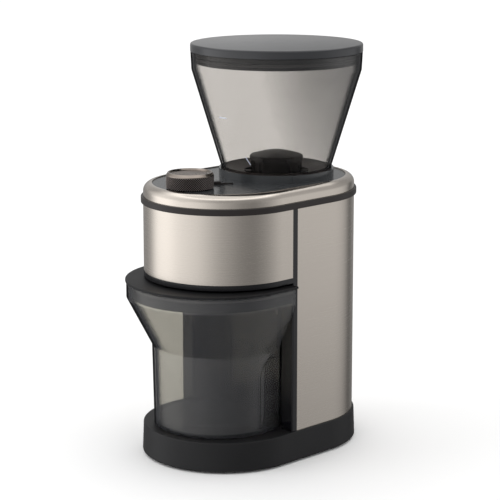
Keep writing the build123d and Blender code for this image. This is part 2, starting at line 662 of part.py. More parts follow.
def shaft_bushings():
    """Sintered bushes of the burr shaft."""
    low = tube(6.5, SHAFT_R + RUNNING, GEARBOX_Z, 150.0, 0, BURR_Y)
    high = tube(7.5, SHAFT_R + RUNNING, COVER_Z, 169.0, 0, BURR_Y)
    return Compound([low, high])


# ---------------------------------------------------------------- motor
MOTOR_TOP = GEARBOX_Z
MOTOR_SHAFT_R = 2.5


def motor_can():
    """Drawn steel can of the motor."""
    can = disc(MOTOR_R, MOTOR_Z, MOTOR_TOP, 0, MOTOR_Y) - disc(MOTOR_R - 1.8, 0, 141.0, 0, MOTOR_Y)
    return can - disc(MOTOR_SHAFT_R + RUNNING, 130, 150, 0, MOTOR_Y)


def motor_magnets():
    """Two curved magnets glued in the can."""
    ring = tube(MOTOR_R - 1.8, 21.6, 74, 134, 0, MOTOR_Y)
    gaps = block(-9, 9, 0, 100, 60, 140)
    return ring - gaps


def motor_end_cap():
    """Moulded cap that closes the motor and holds the brushes."""
    cap = disc(MOTOR_R, 62.0, MOTOR_Z, 0, MOTOR_Y) + disc(MOTOR_R - 1.85, 60, 68.0, 0, MOTOR_Y)
    cap += disc(7.0, 57.5, 62.0, 0, MOTOR_Y)
    return cap - disc(MOTOR_SHAFT_R + RUNNING, 59.0, 70, 0, MOTOR_Y)


def motor_brushes():
    """Carbon brushes in their holders."""
    return Compound([block(*sorted((side * 7.4, side * 13.5)), MOTOR_Y - 3, MOTOR_Y + 3, 68.0, 75.0)
                     for side in (-1, 1)])


def motor_shaft():
    """Ground steel shaft of the motor."""
    return disc(MOTOR_SHAFT_R, 59.3, 153.8, 0, MOTOR_Y)


def armature():
    """Slotted iron core with its windings."""
    core = disc(20.8, 80, 128, 0, MOTOR_Y) - disc(MOTOR_SHAFT_R, 70, 140, 0, MOTOR_Y)
    for place in around(5, 0, MOTOR_Y, 18):
        core -= place * block(17.5, 22, -1.2, 1.2, 79, 129)
    return core + tube(17.0, MOTOR_SHAFT_R, 77, 131, 0, MOTOR_Y)


def commutator():
    """Copper segments that the brushes run on."""
    return tube(7.0, MOTOR_SHAFT_R, 68.6, 76.0, 0, MOTOR_Y)


# ---------------------------------------------------------------- electrics
def power_board():
    """Supply board in the foot of the column, with its larger components."""
    board = block(-28, 28, 24, 74, POWER_BOARD_Z, POWER_BOARD_Z + 1.6)
    top = POWER_BOARD_Z + 1.6
    parts = disc(8, top - 0.2, 54, -15, 40) + block(2, 22, 32, 46, top - 0.2, 48)
    parts += block(-8, 8, 56, 66, top - 0.2, 44) + disc(4, top - 0.2, 46, 18, 60)
    return board + parts


def control_board():
    """Board under the top plate."""
    board = block(-BOARD_X, BOARD_X, BOARD_FRONT_Y, BOARD_BACK_Y, BOARD_Z, BOARD_Z + 1.6)
    chips = block(-14, -2, -50, -38, 197, 200.2) + block(6, 20, -46, -36, 192, 200.2)
    return board + chips


def dial_encoder():
    """Rotary switch under the dial."""
    case = block(-6.5, 6.5, DIAL_Y - 6.5, DIAL_Y + 6.5, BOARD_Z + 1.6, 207)
    case += disc(4.0, 206, PLATE_TOP - 0.1, 0, DIAL_Y)
    return case - disc(3.0 + 0.05, 203.5, 214, 0, DIAL_Y)


def interlock_switch():
    """Switch that the container pushes through the back of the bay."""
    case = block(PLUNGER_X - 7, PLUNGER_X + 7, BAY_BACK_Y + 2.0, 22.5, PLUNGER_Z - 6, PLUNGER_Z + 6)
    return case - bar_y(PLUNGER_R + 0.3, 14, 21.5, PLUNGER_X, PLUNGER_Z)


def interlock_plunger():
    """Pin that feels the container."""
    pin = bar_y(PLUNGER_R, CUP_BACK_Y + GAP, 19.2, PLUNGER_X, PLUNGER_Z)
    return fillet(pin.edges().sort_by(Axis.Y)[0], 0.8)


def plunger_spring():
    """Spring behind the plunger."""
    return bar_y(2.2, 19.5, 21.5, PLUNGER_X, PLUNGER_Z) - bar_y(1.6, 19, 22, PLUNGER_X, PLUNGER_Z)


# ---------------------------------------------------------------- dial
RIM_Z = 222.6              # top of the knurled sleeve
RING_IN_R = 13.0


def dial_knob():
    """Black sleeve of the dial, with its stem."""
    return turned([(0, 204.0), (3.0, 204.0), (3.0, DIAL_Z), (DIAL_R, DIAL_Z), (DIAL_R, RIM_Z),
                   (14.2, RIM_Z), (14.2, 215.5), (0, 215.5)], 0, DIAL_Y)


def dial_ring():
    """Bronze-coloured rim of the dial."""
    return turned([(17.9, RIM_Z), (17.9, 223.2), (16.7, DIAL_TOP), (15.9, DIAL_TOP), (15.0, 223.9),
                   (RING_IN_R, 223.7), (RING_IN_R, RIM_Z)], 0, DIAL_Y)


def start_button():
    """Push button in the middle of the dial, with a hollow top."""
    top = 223.8
    dish_r = 90.0
    button = disc(BUTTON_R, 218.0, top, 0, DIAL_Y) + disc(13.8, 218.0, 219.4, 0, DIAL_Y)
    return button - Pos(0, DIAL_Y, top - 0.7 + dish_r) * Sphere(dish_r)


def button_spring():
    """Spring under the push button."""
    return tube(8.5, 7.3, 215.5, 218.0, 0, DIAL_Y)


# ---------------------------------------------------------------- write every piece
PIECES = [
    base_shell, base_plate, rubber_feet, base_screws, cord_bushing,
    rear_shell, rear_wrap, bay_panel, head_housing, front_panel,
    top_frame, top_bezel, top_plate, index_pointer, hopper_collar,
    hopper_shell, hopper_base, burr_cap, hopper_lid, hopper_lid_seal,
    grounds_container, container_lid, container_lid_seal, chute, chute_seal,
    burr_housing, ring_burr_carrier, ring_burr, cone_burr, grounds_sweeper,
    burr_shaft, burr_nut, adjuster_ring,
    motor_pinion, idler_gear, output_gear, idler_pin, gearbox_housing, gearbox_cover,
    gearbox_screws, shaft_bushings,
    motor_can, motor_magnets, motor_end_cap, motor_brushes, motor_shaft, armature, commutator,
    power_board, control_board, dial_encoder,
    interlock_switch, interlock_plunger, plunger_spring,
    dial_knob, dial_ring, start_button, button_spring]

for make in PIECES:
    piece = make()
    export_step(piece, f"parts/{make.__name__}.step")
    print(f"{make.__name__:22s} {piece.volume / 1000:9.2f} cm3  {len(piece.solids())} solid(s)")
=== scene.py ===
# %% [markdown]
# # Finishing a burr coffee grinder
# The grinder comes from CAD as separate solids, in metres, each at its own place in one
# frame.  This lesson gives every solid the finish that its maker would give it, and makes
# again the three pieces that need a softer or finer shape than CAD gave them: the walls of
# the two smoked vessels and the knurled sleeve of the dial.  Nothing is moved to fit.  Each
# new piece takes its place from the box of the CAD node that it stands for, and repeats
# the few CAD sizes that a box does not tell.

# %% Load the frame
from math import atan2, ceil, cos, hypot, pi, radians, sin, sqrt

import bpy
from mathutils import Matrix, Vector


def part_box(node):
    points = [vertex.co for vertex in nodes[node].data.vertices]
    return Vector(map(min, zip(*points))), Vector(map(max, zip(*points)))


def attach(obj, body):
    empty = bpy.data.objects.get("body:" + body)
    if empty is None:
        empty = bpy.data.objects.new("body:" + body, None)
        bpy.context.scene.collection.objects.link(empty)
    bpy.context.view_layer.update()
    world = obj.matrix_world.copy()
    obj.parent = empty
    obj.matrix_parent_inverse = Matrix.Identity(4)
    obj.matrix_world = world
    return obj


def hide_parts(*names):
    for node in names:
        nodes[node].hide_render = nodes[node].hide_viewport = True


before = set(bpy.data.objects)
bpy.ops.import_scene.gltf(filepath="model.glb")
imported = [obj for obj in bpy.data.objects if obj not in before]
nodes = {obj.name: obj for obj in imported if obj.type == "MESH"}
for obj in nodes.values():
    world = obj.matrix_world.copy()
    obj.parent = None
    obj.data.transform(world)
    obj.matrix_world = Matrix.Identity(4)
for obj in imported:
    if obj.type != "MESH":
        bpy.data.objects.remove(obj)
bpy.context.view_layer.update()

MM, MICRON = 0.001, 0.000001

# %% [markdown]
# ## Shader sums as plain Python
# A real surface is never one flat value: brushing, moulded grain and handling change it
# from point to point.  Such patterns are sums on sockets.  They could be wired by hand,
# node by node, but that is hard to read and to change.  So one small class wraps a socket,
# and an ordinary expression such as `1 - grain * 0.2` adds its Math nodes.


# %% A socket that can be used in sums
class Wire:
    """An output socket.  Sums of wires and numbers add Math nodes."""

    def __init__(self, finish, socket):
        self.finish, self.socket = finish, socket

    def out(self, name):
        """Another output of the same node."""
        return Wire(self.finish, self.socket.node.outputs[name])

    def sum(self, operation, first, second=0.0):
        """One Math node."""
        return self.finish.node("ShaderNodeMath", {"operation": operation}, {0: first, 1: second})

    def __add__(self, other):
        return self.sum("ADD", self, other)

    def __sub__(self, other):
        return self.sum("SUBTRACT", self, other)

    def __rsub__(self, other):
        return self.sum("SUBTRACT", other, self)

    def __mul__(self, other):
        return self.sum("MULTIPLY", self, other)

    __radd__, __rmul__ = __add__, __mul__

    def wave(self):
        """The sine of the wire, from 0 to 1."""
        return self.sum("SINE", self) * 0.5 + 0.5


print("wires can be added, taken away and multiplied")

# %% [markdown]
# A second class holds one material.  Its `set` gives a socket of the shader a constant or
# a wire, and its `node` adds any other node: the settings first, then the values.  With
# it a finish is a few lines, which read like a recipe.


# %% A finish is one procedural material
MIX_FACTOR, MIX_FIRST, MIX_SECOND = 0, 6, 7     # a Mix node's sockets when it mixes colours


class Finish:
    """A Principled material.  A word with underscores names one of the shader's sockets."""

    def __init__(self, name, **constants):
        self.material = bpy.data.materials.new(name)
        self.material.use_nodes = True
        self.tree = self.material.node_tree
        self.shader = self.tree.nodes["Principled BSDF"]
        self.set(**constants)

    def set(self, **sockets):
        """Gives sockets of the shader a constant or a wire."""
        for word, value in sockets.items():
            self.fill(self.shader.inputs[word.replace("_", " ")], value)

    def fill(self, socket, value):
        """Gives any socket a constant, a colour of three numbers or a wire."""
        if isinstance(value, Wire):
            self.tree.links.new(value.socket, socket)
        elif socket.type == "RGBA":
            socket.default_value = (*value, 1.0)
        else:
            socket.default_value = value

    def node(self, kind, settings=None, values=None):
        """Adds a node and gives its first output that is in use."""
        made = self.tree.nodes.new(kind)
        for word, value in (settings or {}).items():
            if word == "stops":
                ramp = made.color_ramp.elements
                while len(ramp) < len(value):
                    ramp.new(0.5)
                for stop, (place, level) in zip(ramp, value):
                    stop.position = place
                    stop.color = (level, level, level, 1.0)
            else:
                setattr(made, word, value)
        for word, value in (values or {}).items():
            self.fill(made.inputs[word], value)
        return Wire(self, next(o for o in made.outputs if o.enabled))

    def place(self, stretch=(1, 1, 1), centre=(0, 0, 0)):
        """The point's place in the object, in metres from centre, times stretch."""
        where = self.node("ShaderNodeTexCoord").out("Object")
        where = self.node("ShaderNodeVectorMath", {"operation": "SUBTRACT"}, {0: where, 1: centre})
        return self.node("ShaderNodeVectorMath", {"operation": "MULTIPLY"}, {0: where, 1: stretch})

    def noise(self, *lumps, detail=2.0, rough=0.5):
        """Noise about 0.5, with so many lumps to the metre: one number, or one for each of X, Y, Z."""
        stretch = lumps * 3 if len(lumps) == 1 else lumps
        return self.node("ShaderNodeTexNoise", {}, {
            "Vector": self.place(stretch), "Scale": 1.0, "Detail": detail, "Roughness": rough})

    def away(self, x, y):
        """Distance in metres from the upright axis at x, y."""
        flat = self.place((1, 1, 0), (x, y, 0))
        return self.node("ShaderNodeVectorMath", {"operation": "LENGTH"}, {0: flat}).out("Value")

    def ramp(self, wire, *stops):
        """The wire sent through (place, level) stops."""
        return self.node("ShaderNodeValToRGB", {"stops": stops}, {"Fac": wire})

    def mix(self, factor, first, second):
        """A colour between two colours."""
        sockets = {MIX_FACTOR: factor, MIX_FIRST: first, MIX_SECOND: second}
        return self.node("ShaderNodeMix", {"data_type": "RGBA"}, sockets)

    def relief(self, height, metres):
        """Raises the surface by height times metres, as a bump."""
        self.set(Normal=self.node("ShaderNodeBump", {}, {"Height": height, "Distance": metres}))


print("a finish starts from Blender's Principled shader")

# %% [markdown]
# `shade` makes a colour lighter or darker, and `dress` gives a finish to CAD nodes, whose
# mesh and place stay as they are.


# %% Shade and dress
def shade(colour, times):
    """A colour made lighter or darker."""
    return tuple(min(1.0, c * times) for c in colour)


def dress(finish, *names):
    """Gives a finish to CAD nodes, which keep their mesh and place."""
    for name in names:
        for place in nodes[name].material_slots:
            place.material = finish.material
    print(f"{finish.material.name}: {', '.join(names)}")


print("nodes to dress:", len(nodes))

# %% [markdown]
# ## Camera
# The camera stands 1.4 m from the machine and not quite half a metre above the table top,
# off its front right corner.  It could stand closer with a shorter lens, but the long lens
# keeps the sides of the column nearly upright, as in a catalogue.  A small shift of the
# picture sets the machine in the middle without tipping the camera further.

# %% Camera
AZIMUTH = radians(45.42)
TILT = radians(11.2)
STAND_BACK, EYE_HEIGHT = 1.4013, 0.4565
LENS, SHIFT = 131.9, -0.0595
body_middle = sum(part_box("top_bezel"), Vector()) / 2
ahead = Vector((-sin(AZIMUTH), cos(AZIMUTH), 0))
camera_data = bpy.data.cameras.new("camera")
camera = bpy.data.objects.new("camera", camera_data)
bpy.context.scene.collection.objects.link(camera)
camera.location = Vector((body_middle.x, body_middle.y, EYE_HEIGHT)) - ahead * STAND_BACK
camera.rotation_euler = (pi / 2 - TILT, 0, AZIMUTH)
camera_data.lens, camera_data.shift_y = LENS, SHIFT
bpy.context.scene.camera = camera
bpy.context.scene.view_settings.view_transform = "Standard"
print("camera at", [round(v, 3) for v in camera.location])

# %% [markdown]
# ## Paper floor
# The machine stands on white paper, so wide that its edge is lost in the white of the
# room.  A plane from Blender's menu would do, but one helper that makes a mesh from corners
# and faces serves every later piece too.  Reflections do not see the paper: the gloss and
# the steel reflect the cards that come further on.


# %% Paper floor
def joined(name, points, faces, finish, smooth=True):
    """A mesh object from corners and faces."""
    mesh = bpy.data.meshes.new(name)
    mesh.from_pydata(points, [], faces)
    mesh.materials.append(finish.material)
    if smooth:
        mesh.shade_smooth()
    made = bpy.data.objects.new(name, mesh)
    bpy.context.scene.collection.objects.link(made)
    return made


PAPER_HALF = 12.0
paper = Finish("paper", Base_Color=(0.93, 0.93, 0.93), Roughness=0.95, Specular_IOR_Level=0.1)
corners = [(sx * PAPER_HALF, sy * PAPER_HALF, 0) for sx, sy in ((-1, -1), (1, -1), (1, 1), (-1, 1))]
floor = joined("floor", corners, [(0, 1, 2, 3)], paper)
floor.visible_glossy = False
print("paper is", 2 * PAPER_HALF, "m wide")

# %% [markdown]
# ## Lamps and room
# A white room gives most of the light, so that the paper is white out to the horizon from
# every side.  Light from all round shows little form, so two weak lamps add a direction.
# The sun is as wide as a large softbox and lights the paper as evenly far away as close
# by, which no lamp nearby could do.  The softbox at the front left models the round forms.
# Reflections see neither lamp.

# %% Lamps and room
SUN_STRENGTH, SUN_WIDTH, SUN_TINT = 0.55, radians(80), (1.0, 0.99, 0.975)
sun_data = bpy.data.lights.new("sun", "SUN")
sun_data.energy, sun_data.angle, sun_data.color = SUN_STRENGTH, SUN_WIDTH, SUN_TINT
sun = bpy.data.objects.new("sun", sun_data)
bpy.context.scene.collection.objects.link(sun)
sun.rotation_euler = (radians(-12), radians(-10), 0)
sun.visible_glossy = False

SOFTBOX_AT, SOFTBOX_AIM = Vector((-0.75, -1.15, 0.75)), Vector((0, 0, 0.16))
SOFTBOX_WIDE, SOFTBOX_TALL, SOFTBOX_WATTS = 0.8, 1.0, 4.0
key_data = bpy.data.lights.new("softbox", "AREA")
key_data.shape, key_data.size, key_data.size_y = "RECTANGLE", SOFTBOX_WIDE, SOFTBOX_TALL
key_data.energy = SOFTBOX_WATTS
key = bpy.data.objects.new("softbox", key_data)
bpy.context.scene.collection.objects.link(key)
key.location = SOFTBOX_AT
key.rotation_mode = "QUATERNION"
key.rotation_quaternion = (SOFTBOX_AIM - SOFTBOX_AT).to_track_quat("-Z", "Y")
key.visible_camera = key.visible_glossy = False

room = bpy.data.worlds.new("room")
room.use_nodes = True
room_light = room.node_tree.nodes["Background"].inputs
room_light["Color"].default_value = (1.0, 1.0, 1.0, 1.0)
room_light["Strength"].default_value = 1.0
bpy.context.scene.world = room
print("sun, softbox and room are ready")

# %% [markdown]
# ## Reflector cards
# Brushed steel shows the room more than it shows itself, so a studio surrounds it with
# cards: bright ones at the front left, grey ones beside the camera, and a narrow dark one
# at the back that draws an outline.  They could be a dozen panels.  Here one tall ring
# stands for all of them, because its brightness can follow the compass and the height.
# Only reflections see it.  It runs on below the floor and darkens there, in place of the
# paper that reflections do not see.  Steeply up or down, past its ends, is the white room.

# %% Ring of reflector cards
RING_R, RING_LOW, RING_TOP, RING_SIDES = 0.85, -2.5, 1.6, 64
ring = Finish("reflector_cards", Base_Color=(0, 0, 0), Specular_IOR_Level=0.0, Emission_Strength=1.0)
split = ring.node("ShaderNodeSeparateXYZ", {}, {0: ring.place()})
turn = split.sum("ARCTAN2", split.out("Y"), split.out("X"))
compass = turn * (0.5 / pi) + 0.5
low = ring.ramp(compass, (0.0, 0.3), (0.04, 0.45), (0.09, 1.45), (0.15, 1.5), (0.20, 1.2), (0.28, 0.98),
                (0.36, 0.54), (0.44, 0.30), (0.49, 0.25), (0.54, 0.38), (0.62, 0.72), (0.68, 0.62),
                (0.71, 0.45), (0.745, 0.10), (0.79, 0.32), (1.0, 0.3))
high = ring.ramp(compass, (0.0, 0.4), (0.10, 1.1), (0.22, 0.9), (0.36, 0.42), (0.48, 0.3), (0.62, 0.5),
                 (0.76, 0.32), (0.84, 0.42), (0.88, 0.62), (0.93, 0.46), (1.0, 0.4))
height = split.out("Z") * (1 / RING_TOP)
walls = ring.mix(ring.ramp(height, (0.14, 0.0), (0.24, 1.0)), low, high)
below = ring.ramp(split.out("Z") * 0.5 + 0.5, (0.0, 0.12), (0.25, 0.35), (0.4, 0.66), (0.51, 1.0))
walls = ring.mix(below, (0, 0, 0), walls)
ring.set(Emission_Color=ring.mix(ring.ramp(height, (0.5, 0.0), (0.8, 1.0)), walls, (1.6, 1.6, 1.6)))
points = [(RING_R * cos(2 * pi * k / RING_SIDES), RING_R * sin(2 * pi * k / RING_SIDES), z)
          for z in (RING_LOW, RING_TOP) for k in range(RING_SIDES)]
faces = [(k, (k + 1) % RING_SIDES, (k + 1) % RING_SIDES + RING_SIDES, k + RING_SIDES)
         for k in range(RING_SIDES)]
cards = joined("cards", points, faces, ring)
cards.visible_camera = cards.visible_diffuse = cards.visible_shadow = cards.visible_transmission = False
ring.material.cycles.emission_sampling = "NONE"
print("cards stand", RING_R, "m from the middle and", RING_TOP, "m high")

# %% [markdown]
# ## Brushed stainless steel
# The column and the head are clad in thin stainless sheet.  The maker drew it past an
# abrasive belt, so fine scratches run round the body.  An anisotropic shader would stretch
# the highlights but show no scratches.  Noise that is squeezed to hairlines in height and
# stretched sideways draws them, and a slow cloud stops them looking printed.


# %% Stainless sheet
def brushed(name, colour, rough, lines=4200.0):
    """Stainless with hairlines that run level round the body."""
    steel = Finish(name, Metallic=1.0)
    hairs = steel.noise(14, 14, lines, detail=4.0, rough=0.7)
    cloud = steel.noise(9, 9, 34, detail=3.0)
    steel.set(Base_Color=steel.mix(steel.ramp(hairs, (0.3, 0.0), (0.7, 1.0)), shade(colour, 0.94), colour))
    steel.set(Roughness=rough + (hairs - 0.5) * 0.10 + (cloud - 0.5) * 0.06)
    steel.relief(hairs, 3.5 * MICRON)
    return steel


dress(brushed("stainless_sheet", (0.69, 0.632, 0.57), 0.26), "rear_wrap", "front_panel")
dress(brushed("stainless_bezel", (0.70, 0.64, 0.575), 0.2, 5200.0), "top_bezel")

# %% [markdown]
# ## Moulded plastics
# Satin parts come from a spark-eroded tool, which leaves a fine even grain.  Gloss parts
# come from a polished tool, and show only slow ripples and a little handling haze.  Dark
# plastics differ from each other in colour by very little, so the surface does the work:
# one recipe for each kind of tool, with a colour and a roughness for each part.


# %% Satin and gloss plastics
def satin(name, colour, rough, grain=18 * MICRON):
    """Moulding with the fine grain of a spark-eroded tool."""
    plastic = Finish(name, Specular_IOR_Level=0.28)
    speck = plastic.noise(2300)
    cloud = plastic.noise(35, detail=3.0)
    plastic.set(Base_Color=plastic.mix(cloud, shade(colour, 0.8), shade(colour, 1.2)))
    plastic.set(Roughness=rough + (speck - 0.5) * 0.16 + (cloud - 0.5) * 0.08)
    plastic.relief(speck, grain)
    return plastic


def gloss(name, colour, rough):
    """Moulding from a polished tool, with slow ripples and haze."""
    plastic = Finish(name)
    ripple = plastic.noise(55, detail=1.0)
    haze = plastic.noise(160, detail=5.0, rough=0.65)
    plastic.set(Base_Color=plastic.mix(ripple, shade(colour, 0.85), shade(colour, 1.15)))
    plastic.set(Roughness=rough + (haze - 0.5) * 0.06)
    plastic.relief(ripple, 10 * MICRON)
    return plastic


dress(satin("base_satin", (0.011, 0.011, 0.012), 0.44), "base_shell")
dress(satin("lid_satin", (0.0065, 0.0065, 0.0075), 0.48), "container_lid")
dress(satin("band_satin", (0.020, 0.0165, 0.016), 0.36), "top_frame", "index_pointer", "interlock_switch")
dress(satin("inner_black", (0.016, 0.016, 0.017), 0.5), "base_plate", "rear_shell", "chute",
      "burr_housing", "ring_burr_carrier", "grounds_sweeper", "adjuster_ring", "motor_end_cap")
dress(gloss("bay_gloss", (0.004, 0.004, 0.0055), 0.24), "bay_panel", "head_housing")
dress(gloss("plate_gloss", (0.042, 0.045, 0.048), 0.2), "top_plate", "hopper_collar")
dress(gloss("lid_grey", (0.027, 0.028, 0.031), 0.2), "hopper_lid")
dress(gloss("floor_brown", (0.030, 0.022, 0.020), 0.36), "hopper_base")
dress(gloss("cap_black", (0.016, 0.014, 0.014), 0.26), "burr_cap")

# %% [markdown]
# ## Engineering plastics
# Glass-filled nylon has a deeper grain where its fibres show, and plain nylon for the
# gears is a milky white.  Both are moulded in satin tools, so the satin recipe serves
# again with other numbers.

# %% Engineering plastics
dress(satin("filled_nylon", (0.22, 0.23, 0.24), 0.55, 30 * MICRON),
      "gearbox_housing", "gearbox_cover", "dial_encoder")
dress(satin("gear_nylon", (0.80, 0.77, 0.69), 0.42), "idler_gear", "output_gear")
dress(satin("acetal", (0.72, 0.72, 0.69), 0.35), "interlock_plunger")

# %% [markdown]
# ## Circuit boards
# The boards are lacquered green, with copper tracks under the lacquer that stand up a
# little.  Real tracks would take a drawing.  These boards are hidden inside, so the joints
# of a brick pattern stand for them.

# %% Circuit boards
BRICKS = 170
board = Finish("board_lacquer", Roughness=0.32, Coat_Roughness=0.1)
tracks = board.node("ShaderNodeTexBrick", {"offset": 0.5}, {
    "Vector": board.place((BRICKS, BRICKS, BRICKS)), "Scale": 1.0, "Mortar Size": 0.06,
    "Color1": (0.012, 0.10, 0.045), "Color2": (0.02, 0.13, 0.06), "Mortar": (0.10, 0.24, 0.10)})
board.set(Base_Color=tracks)
board.relief(tracks, 40 * MICRON)
dress(board, "power_board", "control_board")

# %% [markdown]
# ## Rubber and seals
# Rubber is dull, with a faint bloom that settles unevenly, so noise lightens the colour and
# roughens the surface in the same spots.  The seals of the lids are smoky silicone.


# %% Rubber
def rubber(name, colour, rough):
    """Soft elastomer with a dusty bloom."""
    soft = Finish(name, Specular_IOR_Level=0.3)
    bloom = soft.noise(420, detail=5.0, rough=0.7)
    soft.set(Base_Color=soft.mix(bloom, colour, shade(colour, 1.8)))
    soft.set(Roughness=rough + (bloom - 0.5) * 0.2)
    soft.relief(bloom, 40 * MICRON)
    return soft


dress(rubber("foot_rubber", (0.018, 0.018, 0.018), 0.8), "rubber_feet")
dress(rubber("seal_rubber", (0.022, 0.022, 0.023), 0.7), "cord_bushing", "chute_seal")
dress(rubber("smoky_silicone", (0.045, 0.045, 0.047), 0.45), "hopper_lid_seal", "container_lid_seal")

# %% [markdown]
# ## Metals inside
# Shafts are ground, which leaves rings round them.  Burrs are cut and then ground, the
# motor can is zinc plated with a faint spangle, the bushes are pressed from bronze powder,
# and the armature is a stack of thin iron sheets under varnished wire.  Each could have a
# shader of its own, but besides colour and dullness they differ only in how one noise is
# stretched: squeezed in height it is rings or sheets, and equal every way it is grain.


# %% Inner metals
def metal(name, colour, rough, pattern, relief):
    """Metal whose colour, roughness and surface follow one noise, with lumps as in pattern."""
    made = Finish(name, Metallic=1.0)
    marks = made.noise(*pattern, detail=4.0, rough=0.6)
    made.set(Base_Color=made.mix(marks, shade(colour, 0.72), shade(colour, 1.1)))
    made.set(Roughness=rough + (marks - 0.5) * 0.25)
    made.relief(marks, relief)
    return made


RINGS, SHEETS, CUTS = (40, 40, 3800), (8, 8, 1900), (300, 300, 2600)
TEETH, WINDS, GRAIN, SPANGLE = (700, 700, 500), (900, 900, 300), (2400,), (240,)
dress(metal("zinc_screws", (0.55, 0.56, 0.57), 0.34, SPANGLE, 10 * MICRON),
      "base_screws", "gearbox_screws", "burr_nut")
dress(metal("ground_shaft", (0.60, 0.60, 0.61), 0.22, RINGS, 8 * MICRON),
      "burr_shaft", "motor_shaft", "idler_pin")
dress(metal("burr_steel", (0.52, 0.52, 0.53), 0.33, CUTS, 20 * MICRON), "ring_burr", "cone_burr")
dress(metal("gear_steel", (0.50, 0.49, 0.46), 0.36, TEETH, 20 * MICRON), "motor_pinion")
dress(metal("zinc_can", (0.50, 0.51, 0.53), 0.38, SPANGLE, 10 * MICRON), "motor_can")
dress(metal("spring_wire", (0.58, 0.58, 0.58), 0.28, WINDS, 10 * MICRON),
      "button_spring", "plunger_spring")
dress(metal("sintered_bronze", (0.56, 0.38, 0.21), 0.48, GRAIN, 50 * MICRON), "shaft_bushings")
dress(metal("turned_copper", (0.78, 0.43, 0.29), 0.27, RINGS, 10 * MICRON), "commutator")
dress(metal("core_iron", (0.27, 0.17, 0.11), 0.45, SHEETS, 60 * MICRON), "armature")

# %% [markdown]
# ## Ferrite and carbon
# The magnets are pressed ferrite and the brushes pressed carbon: dark and dull, with an
# open grain.  They are no metals to the eye, so they take the satin recipe.

# %% Ferrite and carbon
dress(satin("ferrite", (0.05, 0.05, 0.052), 0.6, 50 * MICRON), "motor_magnets")
dress(satin("carbon", (0.022, 0.022, 0.023), 0.55, 50 * MICRON), "motor_brushes")

# %% [markdown]
# ## Spun bronze
# The button of the dial is faced on a lathe, so fine circles run round the dial's axis and
# catch the light.  Stretched noise cannot follow a circle, so here the pattern is two sine
# waves of the distance from the axis, one fine and one broad.  The rim takes the ring
# pattern of the shafts.

# %% Bronze rim and button
dial_low, dial_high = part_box("dial_knob")
DIAL_X, DIAL_Y = (dial_low.x + dial_high.x) / 2, (dial_low.y + dial_high.y) / 2
FINE_CUTS, BROAD_CUTS = 16000.0, 2200.0     # radians of the wave for each metre outward
bronze = Finish("spun_bronze", Metallic=1.0, Anisotropic=0.4)
from_axis = bronze.away(DIAL_X, DIAL_Y)
circles = (from_axis * FINE_CUTS).wave() * 0.4 + (from_axis * BROAD_CUTS).wave() * 0.6
drift = bronze.noise(160, detail=3.0)
bronze.set(Base_Color=bronze.mix(circles, (0.125, 0.102, 0.09), (0.33, 0.275, 0.235)))
bronze.set(Roughness=0.27 + circles * 0.08 + (drift - 0.5) * 0.10)
bronze.relief(circles, 12 * MICRON)
dress(bronze, "start_button")
dress(metal("cut_bronze", (0.33, 0.285, 0.25), 0.2, RINGS, 6 * MICRON), "dial_ring")

# %% [markdown]
# ## Smoked clear plastic
# Both vessels are one clear plastic with smoke in it.  Looked at square on, a wall is thin
# and light.  Looked at along its length, near an outline, there is far more plastic in the
# way, and the edge goes dark.  Glass with refraction is one way to make it, but such thin
# walls hardly bend light, and bent light would hide what the vessel holds.  So the wall
# lets light straight through a tint, and Layer Weight adds the body of the plastic where
# the wall turns away.  The hopper also has painted shade that darkens it towards its right
# and back: a gradient painted on the wall, which stands in for the darker side of a studio,
# because the room here is white all round.

# %% Hopper axis and the black edge
hopper_low, hopper_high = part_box("hopper_shell")
HOPPER_X, HOPPER_Y = (hopper_low.x + hopper_high.x) / 2, (hopper_low.y + hopper_high.y) / 2
HOPPER_MIDDLE = (HOPPER_X, HOPPER_Y, (hopper_low.z + hopper_high.z) / 2)
# Painted shade on the hopper: the way it darkens the wall, how fast it grows, and where it starts.
PAINTED_SHADE_TOWARDS, PAINTED_SHADE_RATE, PAINTED_SHADE_FROM = (0.7, 0.7, 0.25), 14.0, 0.1
BLACK_EDGE, EDGE_START = (0.012, 0.012, 0.013), 0.6
print("hopper axis", round(HOPPER_X, 4), round(HOPPER_Y, 4))

# %% [markdown]
# One recipe serves both vessels.  `fog` is the share of body straight on, `rim` the share
# that the outline adds, and `painted_shade` the share of painted shade that the gradient adds.


# %% Smoked plastic
def smoked(name, clear, body, fog, rim, painted_shade=0.0):
    """Tinted wall, clear straight on, with more body where it turns away, and painted shade to one side.
    """
    wall = Finish(name, Specular_IOR_Level=0.0, Coat_IOR=2.3, Coat_Roughness=0.06)
    haze = wall.noise(90, detail=4.0)
    turned_away = wall.node("ShaderNodeLayerWeight", {}, {"Blend": 0.5}).out("Facing")
    outline = wall.ramp(turned_away, (EDGE_START, 0.0), (EDGE_START + 0.12, 0.45), (EDGE_START + 0.2, 1.0))
    wall.set(Coat_Weight=1 - outline, Roughness=0.3 + haze * 0.2)
    wall.set(Base_Color=wall.mix(outline, body, BLACK_EDGE))
    through = wall.node("ShaderNodeBsdfTransparent", {}, {"Color": clear})
    share = fog + outline * rim + (haze - 0.5) * 0.02
    # Painted shade: a gradient in the object's space darkens the wall towards its right and back.
    if painted_shade:
        side = wall.node("ShaderNodeVectorMath", {"operation": "DOT_PRODUCT"}, {
            0: wall.place((1, 1, 1), HOPPER_MIDDLE), 1: PAINTED_SHADE_TOWARDS}).out("Value")
        share = share + wall.ramp(side * PAINTED_SHADE_RATE + PAINTED_SHADE_FROM, (0.0, 0.0), (1.0, painted_shade))
    shine = Wire(wall, wall.shader.outputs[0])
    both = wall.node("ShaderNodeMixShader", {}, {0: share, 1: through, 2: shine})
    wall.tree.links.new(both.socket, wall.tree.nodes["Material Output"].inputs["Surface"])
    return wall


